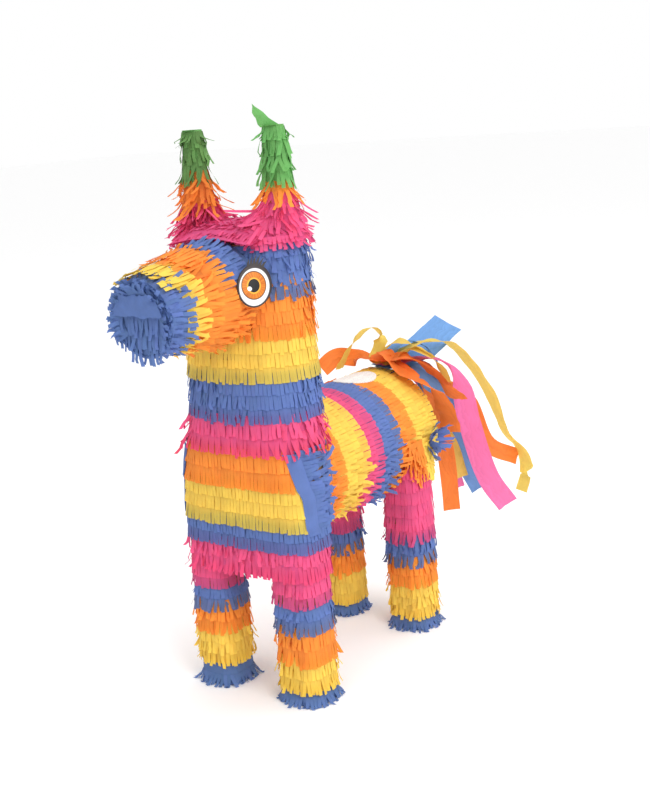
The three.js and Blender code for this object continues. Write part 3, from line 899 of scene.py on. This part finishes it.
def dress_roof():
    """Fine pink tabs combed forwards over the top of the head, hanging over its edge all round."""
    tree = tree_of("head_fringe_pink", "snout_fringe_collar", "column_shell")
    low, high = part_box("head_fringe_pink")
    sheaf = Sheaf()
    # The cap's tone of -0.1 is painted shade under the roof's tabs.
    sheaf.add(*roof_cap(low), -0.1)
    under_roof(sheaf)
    for free_y in np.arange(low.y - 6 * MM, high.y - 12 * MM, 8 * MM):
        rows = []
        for x in np.arange(low.x + 3 * MM, high.x - 3 * MM, 3.0 * MM):
            ends = [roof_end(tree, x, y, low, high) for y in (free_y + 24 * MM, free_y)]
            if None not in ends:
                rows.append(ends)
        if rows:
            fixed, free = (np.array([r[k] for r in rows]) for k in (0, 1))
            outs = np.tile([0, -0.2, 1.0], (len(rows), 1))
            add_tabs(sheaf, fixed, free, outs, width=3.0 * MM, ruffle=0.25, under=-0.8, over=0.5, tone=-0.06)
    region = Face(["head_fringe_blue"], column_centre, RIGHT, REAR, low=0.431, high=0.462)
    for free_t, ruffle, reach, under, over in ((0.450, 0.6, 15, 0, 2.0), (0.456, 0.5, 12, 0.4, 2.6)):
        grow_row(sheaf, region, region, free_t, 1, (0.44, 0.455), ruffle, roof_hem, reach, under=under,
                 over=over)
    sheaf.build("roof_tabs", "pink", "head_fringe_pink")


def under_roof(sheaf):
    """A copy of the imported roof's own faces, just below the tabs, so that no card shows between them."""
    mesh = NODES["head_fringe_pink"].data
    for polygon in mesh.polygons:
        if polygon.normal.z > 0.02:
            drop = np.array(polygon.normal) * 0.4 * MM
            first, second, third = (np.array(mesh.vertices[i].co) - drop for i in polygon.vertices[:3])
            # Tone -0.1 is painted shade under the roof's tabs.
            sheaf.add(np.array([first, second, third, (third + first) / 2]), np.array([[0, 1, 2, 3]]), -0.1)


def dress_leaf():
    """The pointed scrap of green paper that stands on the left ear."""
    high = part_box("ear_l_fringe_green")[1]
    foot = place(EAR_X, EAR_Y, 0) + UP * (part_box("ear_l_card")[1].z + 2 * MM)
    tall = high.z - foot.z
    steps = 8
    points = []
    for j in range(steps + 1):
        s = j / steps
        half = 12 * (1 - s) ** 0.8 + 0.3
        middle = -6 - 17 * s**0.9
        for k in (-1, 0, 1):
            bend = 3.5 * abs(k) * (1 - s) - 4 * s * (1 - s) + 2.5 * noise.noise(Vector((k * 0.8, s * 4, 2)))
            points.append(foot + RIGHT * (middle + k * half) * MM + UP * tall * s + REAR * bend * MM)
    leaf = mesh_piece("ear_l_leaf", points, grid_faces(steps + 1, 3), PAPER["green"],
                      tone=np.full(len(points), 0.03), show=np.zeros(len(points)))


dress_ears()
dress_roof()
dress_leaf()


# ---- eyes ----
EYE_LEAN = 9  # degrees that the print leans outwards on its card
EYE_RINGS, EYE_TURNS = 14, 64
PRINT_EDGE = 0.02  # softness of a printed edge


def oval_mask(n, where, centre, half):
    """1 inside an oval of the eye card, 0 outside it."""
    moved = n.add("ShaderNodeVectorMath", {0: where, 1: (*centre, 0)}, operation="SUBTRACT")
    scaled = n.add("ShaderNodeVectorMath", {0: moved.outputs[0], 1: (*half, 1)}, operation="DIVIDE")
    far = n.add("ShaderNodeVectorMath", {0: scaled.outputs[0]}, operation="LENGTH").outputs["Value"]
    edge = {"Value": far, "From Min": 1 - PRINT_EDGE, "From Max": 1 + PRINT_EDGE,
            "To Min": 1.0, "To Max": 0.0}
    return n.add("ShaderNodeMapRange", edge).outputs["Result"]


def eye_material():
    n = Nodes("eye_print")
    where = n.add("ShaderNodeAttribute", attribute_name="on_card").outputs["Vector"]
    colour = linear((0.22, 0.19, 0.19))
    ways = n.add("ShaderNodeVectorMath", {0: where}, operation="NORMALIZE")
    rays = n.noise(ways.outputs[0], 14.0)
    amber = n.ramp(rays, (0.35, (0.68, 0.33, 0.06)), (0.65, (0.86, 0.52, 0.14)))
    layers = [
        ((0.0, -0.07), (0.86, 0.86), linear((0.90, 0.90, 0.90))),
        ((-0.06, -0.01), (0.72, 0.66), linear((0.36, 0.20, 0.08))),
        ((-0.06, -0.01), (0.67, 0.61), amber),
        ((-0.06, -0.03), (0.40, 0.37), linear((0.95, 0.66, 0.20))),
        ((-0.06, -0.03), (0.33, 0.31), linear((0.05, 0.045, 0.045))),
        ((-0.26, -0.22), (0.13, 0.10), linear((0.92, 0.93, 0.94))),
    ]
    for centre, half, over in layers:
        colour = n.mix(oval_mask(n, where, centre, half), colour, over)
    n.colour(colour)
    n.roughness(n.noise(where, 60.0), 0.4, 0.5)
    n.shader.inputs["Specular IOR Level"].default_value = PRINT_SHINE
    return n.material


def dress_eyes():
    material = eye_material()
    for key, side in (("l", 1), ("r", -1)):
        corners = np.array([v.co for v in NODES[f"eye_{key}"].data.vertices])
        centre = (corners.min(0) + corners.max(0)) / 2
        ways = np.linalg.svd(corners - centre, full_matrices=False)[2]
        tall, wide, out = ways
        tall = tall if tall[2] > 0 else -tall
        out = out if out[0] * side > 0 else -out
        wide = np.cross(tall, out)
        lean = math.radians(EYE_LEAN) * side
        turned = wide * math.cos(lean) - tall * math.sin(lean)
        tall, wide = tall * math.cos(lean) + wide * math.sin(lean), turned
        high, broad = (np.abs((corners - centre) @ way).max() for way in (tall, wide))
        shares = [r / EYE_RINGS for r in range(1, EYE_RINGS + 1)]
        levels = [*((s, 0.45 + 1.4 * (1 - s**2)) for s in shares), (1.0, -0.5)]
        points, spots = [centre + out * 1.9 * MM], [(0, 0, 0)]
        for s, crown in levels:
            for k in range(EYE_TURNS):
                turn = 2 * math.pi * k / EYE_TURNS
                u, v = s * math.cos(turn), s * math.sin(turn)
                points.append(centre + wide * u * broad + tall * v * high + out * crown * MM)
                spots.append((u, v, 0))
        following = [(k + 1) % EYE_TURNS for k in range(EYE_TURNS)]
        faces = [[0, 1 + k, 1 + after] for k, after in enumerate(following)]
        for r in range(EYE_RINGS):
            a, b = 1 + r * EYE_TURNS, 1 + (r + 1) * EYE_TURNS
            faces += [[a + k, b + k, b + after, a + after] for k, after in enumerate(following)]
        mesh = bpy.data.meshes.new(f"eye_{key}_print")
        mesh.from_pydata([tuple(p) for p in points], [], faces)
        on_card = mesh.attributes.new("on_card", "FLOAT_VECTOR", "POINT")
        on_card.data.foreach_set("vector", np.array(spots, np.float32).ravel())
        mesh.materials.append(material)
        for polygon in mesh.polygons:
            polygon.use_smooth = True
        card = bpy.data.objects.new(f"eye_{key}_print", mesh)
        bpy.context.scene.collection.objects.link(card)
        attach(card, "pinata")
        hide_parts(f"eye_{key}")
        lashes(f"eye_{key}_lashes", centre, wide, tall, out, broad, high, side)


def lashes(name, centre, wide, tall, out, broad, high, side):
    """Dark paper spikes on the upper rim, on the side nearer the nose."""
    points, faces = [], []
    for k in range(6):
        turn = math.radians(90 + side * (-12 + 10 * k))
        rim = centre + wide * math.cos(turn) * broad * 0.93 + tall * math.sin(turn) * high * 0.93
        way = unit((wide * math.cos(turn) + tall * (math.sin(turn) + 0.5))[None])[0]
        across = np.cross(way, out)
        length = (10.5 - 1.3 * abs(k - 2.5)) * MM
        start = len(points)
        for s, half in ((0, 1.5), (0.5, 0.9), (1, 0.12)):
            middle = rim + way * length * s + across * side * 2.0 * MM * s**2 + out * (0.7 + s) * MM
            points += [middle - across * half * MM, middle + across * half * MM]
        faces += [[start, start + 1, start + 3, start + 2], [start + 2, start + 3, start + 5, start + 4]]
    n = Nodes(name)
    grain = n.add("ShaderNodeTexNoise", {"Scale": 300.0})
    n.colour(n.ramp(grain.outputs["Fac"], (0.3, (0.13, 0.11, 0.11)), (0.7, (0.22, 0.19, 0.18))))
    n.shader.inputs["Roughness"].default_value = 0.5
    piece = mesh_piece(name, points, faces, n.material)


dress_eyes()


# ---- flap and label ----
def dress_flap():
    low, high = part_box("fill_flap")
    tree = tree_of("fill_flap")
    bands = [(hue_of(n), *lengthwise_ends(n)) for n in STRIPES[3:]]
    for hue, start, end in bands:
        start, end = max(start, low.y), min(end, high.y)
        sheaf = Sheaf()
        rows = max(1, round((end - start) / (BODY_PITCH * MM)))
        for k in range(rows):
            free_y = end - k * (end - start) / rows
            x = np.linspace(low.x + 1.5 * MM, high.x + 2.5 * MM, 15)
            root_y = max(free_y - 20 * MM, low.y + 0.5 * MM)
            inside = [Vector((min(xi, high.x - 0.5 * MM), free_y - 0.3 * MM, 0.4)) for xi in x]
            free = np.array([tree.ray_cast(spot, -UP)[0] for spot in inside])
            free[:, 2] -= np.maximum(x - high.x, 0) * 0.45
            free[:, 0] = x
            free[:, 1] = free_y + (2 * MM if free_y == high.y else 0)
            fixed = free.copy()
            fixed[:, 1] = root_y
            outs = unit(np.stack([x * 1.1, np.zeros(len(x)), np.full(len(x), 0.07)], axis=1))
            add_tabs(sheaf, fixed, free, outs, TAB_SPACING * MM, 0.0, under=0.1, over=0.45, lift=0.2)
        sheaf.build(f"flap_tabs_{hue}", hue, body="flap")


def label_material():
    """Off-white paper with grey marks too faint to read."""
    n = Nodes("label_paper")
    where = n.where()
    inputs = {"Vector": where, "Scale": 90.0, "Distortion": 0.4}
    lines = n.add("ShaderNodeTexWave", inputs, bands_direction="Y")
    stretched = n.add("ShaderNodeMapping", {"Vector": where, "Scale": (700.0, 150.0, 150.0)})
    marks = n.noise(stretched.outputs[0], 1.0, 3.0)
    both = n.math("MULTIPLY", lines.outputs["Fac"], marks)
    n.colour(n.ramp(both, (0.34, (0.90, 0.89, 0.87)), (0.46, (0.74, 0.73, 0.74))))
    n.roughness(marks, 0.35, 0.5)
    return n.material


dress_flap()
repaint("fill_label", label_material())


# ---- tail ----
# For each hue, the strips: half a width, the way its flat side faces, and the stops it passes through.
ROOT = (7, 129, 286.2)
ROOT_STEP = 2.4
STRIP_POINTS = 7  # across a strip
SPAN_POINTS = 6  # between two stops
SIDE = Vector((0.6, -0.8, 0.2))
ASLANT = Vector((0.45, -0.3, 0.8))
TAIL = {
    "blue": [
        (19, ASLANT, [(12, 150, 286.2), (12, 172, 287), (12, 213, 295), (14, 240, 305), (16, 262, 313)]),
        (9, SIDE, [(14, 144, 286), (18, 156, 281), (26, 190, 262), (30, 228, 231), (36, 242, 157),
                   (40, 272, 106)]),
        (12, SIDE, [(18, 144, 284), (34, 158, 278), (44, 168, 258), (50, 176, 232), (52, 186, 205)]),
        (9, UP, [(4, 144, 287), (2, 160, 300), (10, 180, 306), (22, 196, 298), (34, 206, 276)]),
    ],
    "pink": [
        (13, SIDE, [(14, 144, 288.8), (28, 160, 290), (40, 178, 288), (48, 200, 277), (56, 218, 243),
                    (62, 222, 203), (68, 246, 135), (71, 288, 86)]),
        (7, SIDE, [(14, 146, 288), (20, 176, 262), (20, 210, 218), (22, 238, 157), (24, 254, 112)]),
    ],
    "yellow": [
        (9, UP, [(-8, 141, 291.5), (-7, 152, 314), (-14, 145, 327), (-30, 131, 313), (-50, 128, 281)]),
        (10, UP, [(9, 148, 291.6), (18, 172, 301), (26, 190, 304), (38, 233, 292), (50, 287, 230),
                  (58, 310, 172), (64, 340, 141), (66, 350, 110), (62, 342, 86)]),
        (8, SIDE, [(16, 146, 291), (26, 170, 268), (30, 208, 202), (34, 226, 172), (38, 238, 131)]),
        (11, UP, [(14, 140, 292), (26, 152, 302), (40, 160, 300), (54, 172, 284), (60, 180, 262)]),
        (10, UP, [(0, 138, 292), (6, 146, 306), (18, 150, 312), (32, 160, 306), (44, 176, 290)]),
    ],
    "orange": [
        (10, SIDE, [(-10, 130, 295), (-24, 138, 294), (-40, 146, 291), (-56, 132, 294), (-64, 112, 284)]),
        (12, UP, [(6, 132, 303), (12, 131, 303), (22, 130, 293), (38, 129, 282), (54, 127, 275),
                  (68, 142, 260), (70, 160, 228), (70, 165, 208)]),
        (12, UP, [(22, 137, 297), (36, 142, 296), (50, 158, 281), (58, 190, 248), (60, 204, 236)]),
        (10, SIDE, [(24, 140, 294), (34, 176, 282), (40, 208, 256), (44, 254, 219), (48, 285, 162),
                    (56, 346, 129)]),
        (10, SIDE, [(20, 138, 292), (40, 150, 270), (48, 178, 205), (46, 193, 165), (46, 198, 103)]),
    ],
}


def streamer_material(hue, srgb):
    """Crepe paper with fine folds that wander along each strip, lighter on the folds' ridges and darker in
    their hollows as painted shade.
    """
    n = Nodes(f"streamer_{hue}")
    across = n.add("ShaderNodeAttribute", attribute_name="across").outputs["Fac"]
    patches = n.noise(n.where(), 60.0, 4.0)
    wandering = n.math("MULTIPLY_ADD", patches, 6.0, n.math("MULTIPLY", across, 26.0))
    inputs = {"W": wandering, "Scale": 1.0, "Detail": 2.0}
    folds = n.add("ShaderNodeTexNoise", inputs, noise_dimensions="1D").outputs["Fac"]
    # The colour follows the same field as the bump: random patches of tone, and painted shade that darkens
    # the folds' hollows.
    both = n.math("ADD", folds, patches)
    spread = {"Value": both, "From Min": 0.6, "From Max": 1.4, "To Min": 0.84, "To Max": 1.08}
    value = n.add("ShaderNodeMapRange", spread).outputs["Result"]
    varied = n.add("ShaderNodeHueSaturation", {"Value": value, "Color": linear(srgb)}).outputs["Color"]
    n.colour(varied)
    n.roughness(patches, 0.6, 0.8)
    n.light_through(varied, n.bump(both, 0.35, 0.6 * MM), LIGHT_THROUGH_STREAMER)
    return n.material


def smooth_path(stops, per_span):
    """Points along a smooth curve through the stops, at even lengths."""
    stops = [2 * stops[0] - stops[1], *stops, 2 * stops[-1] - stops[-2]]
    fine = []
    for a, b, c, d in zip(stops, stops[1:], stops[2:], stops[3:]):
        for s in np.linspace(0, 1, 9)[:-1]:
            square, cube = 2 * a - 5 * b + 4 * c - d, 3 * b - a - 3 * c + d
            fine.append(0.5 * (2 * b + (c - a) * s + square * s**2 + cube * s**3))
    fine = np.array([*fine, stops[-2]])
    run = np.concatenate([[0], np.cumsum(np.linalg.norm(np.diff(fine, axis=0), axis=1))])
    wanted = np.linspace(0, run[-1], per_span * (len(stops) - 3) + 1)
    return np.stack([np.interp(wanted, run, fine[:, k]) for k in range(3)], axis=1), run[-1]


def dress_tail():
    for i, (hue, strips) in enumerate(TAIL.items()):
        root = place(*ROOT) + UP * i * ROOT_STEP * MM
        points, faces, across_values, area, longest = [], [], [], 0, 0
        for half, facing, path in strips:
            line, length = smooth_path([np.array(root), *(np.array(place(*p)) for p in path)],
                                        SPAN_POINTS)
            ways = unit(np.gradient(line, axis=0))
            share = np.clip((np.linspace(0, 1, len(line)) - 0.2) / 0.4, 0, 1)[:, None]
            facings = np.array(UP) * (1 - share) + np.array(facing) * share
            sides = unit(np.cross(ways, facings))
            outs = np.cross(sides, ways)
            start = len(points)
            seed = ROWS.uniform(0, 50)
            for j, (p, across, out) in enumerate(zip(line, sides, outs)):
                swing = 0.35 * noise.noise(Vector((seed, j * 0.16, 0)))
                swung = out * math.cos(swing) - across * math.sin(swing)
                across, out = across * math.cos(swing) + out * math.sin(swing), swung
                for k in range(STRIP_POINTS):
                    u = 2 * k / (STRIP_POINTS - 1) - 1
                    wave = 1.1 * noise.noise(Vector((seed + k * 0.7, j * 0.5, 3))) + 0.9 * u * u
                    points.append(p + across * u * half * MM + out * wave * MM)
                    across_values.append(u * half * MM * 10 + seed)
            faces += (start + grid_faces(len(line), STRIP_POINTS)).tolist()
            area += 2 * half * MM * length
            longest = max(longest, length)
        material = streamer_material(hue, STREAMERS[hue])
        piece = mesh_piece(f"tail_{hue}_strips", points, faces, material, across=across_values)
        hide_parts(f"tail_{hue}")


dress_tail()


# ---- floor, light and sky ----
LAMPS = (("key", (1.9, -0.9, 1.7), 29, 1.2), ("top", (0.3, 0.6, 2.2), 12, 1.6))  # place, power, size
LIT_POINT = Vector((0, 0, 0.28))


def make_stage():
    bpy.ops.mesh.primitive_plane_add(size=30, location=(0, 0, -0.0002))
    floor = bpy.context.object
    n = Nodes("floor")
    n.shader.inputs["Base Color"].default_value = (0.98, 0.98, 0.98, 1)
    n.shader.inputs["Roughness"].default_value = 0.9
    floor.data.materials.append(n.material)
    world = bpy.data.worlds.new("sky")
    world.use_nodes = True
    world.node_tree.nodes["Background"].inputs["Color"].default_value = (1, 1, 1, 1)
    world.node_tree.nodes["Background"].inputs["Strength"].default_value = 1.0
    bpy.context.scene.world = world
    for name, place_at, power, size in LAMPS:
        light = bpy.data.lights.new(name, "AREA")
        light.energy, light.size = power, size
        lamp = bpy.data.objects.new(name, light)
        lamp.location = place_at
        lamp.rotation_mode = "QUATERNION"
        lamp.rotation_quaternion = (Vector(place_at) - LIT_POINT).to_track_quat("Z", "Y")
        bpy.context.scene.collection.objects.link(lamp)
    bpy.context.scene.view_settings.view_transform = "Standard"


make_stage()
